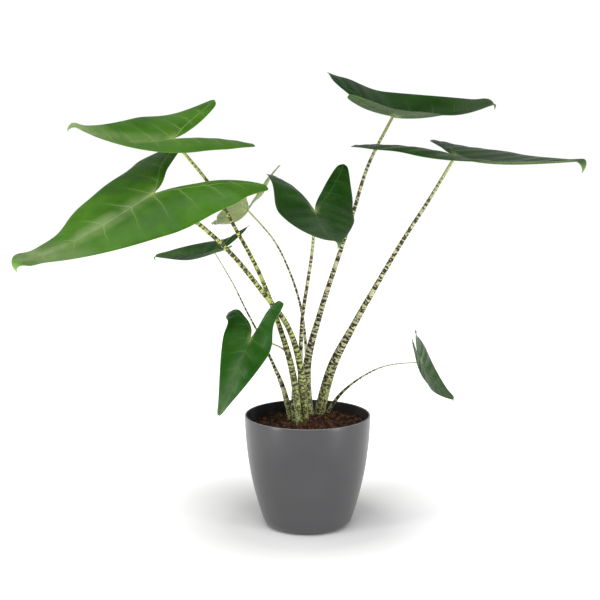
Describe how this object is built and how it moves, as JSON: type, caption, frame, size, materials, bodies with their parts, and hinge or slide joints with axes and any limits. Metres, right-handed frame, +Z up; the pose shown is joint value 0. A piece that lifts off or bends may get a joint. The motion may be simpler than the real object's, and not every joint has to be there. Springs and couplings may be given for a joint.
{
  "type": "potted alocasia plant",
  "caption": "Potted zebra-stem alocasia with arrow-shaped leaves on mottled arching stalks, rooted in soil in a thin tapered round pot.",
  "frame": {"origin": "centre of the pot's flat foot, on the surface it stands on", "axes": "+Z up, -Y towards the front of the plant, +X to its right as seen from the front"},
  "size_m": [0.7801, 0.4737, 0.7267],
  "materials": {
    "pot": "satin anthracite, moulded",
    "soil": "damp fibrous peat and coir",
    "corm": "rough brown skin",
    "light_blade": "satin mid-green leaf with pale veins",
    "dark_blade": "satin dark green leaf with pale veins",
    "stalk": "smooth cream-green with dark zebra mottling"
  },
  "bodies": {
    "root": {"pot": "pot", "soil": "soil", "corm": "corm", "blade_front_left": "light_blade", "stalk_front_left": "stalk", "blade_upper_left": "light_blade", "stalk_upper_left": "stalk", "blade_centre": "dark_blade", "stalk_centre": "stalk", "blade_top_right": "dark_blade", "stalk_top_right": "stalk", "blade_right": "dark_blade", "stalk_right": "stalk", "blade_lower_left": "dark_blade", "stalk_lower_left": "stalk", "blade_back_left": "dark_blade", "stalk_back_left": "stalk", "blade_back": "light_blade", "stalk_back": "stalk", "blade_lower_right": "dark_blade", "stalk_lower_right": "stalk"}
  },
  "joints": []
}
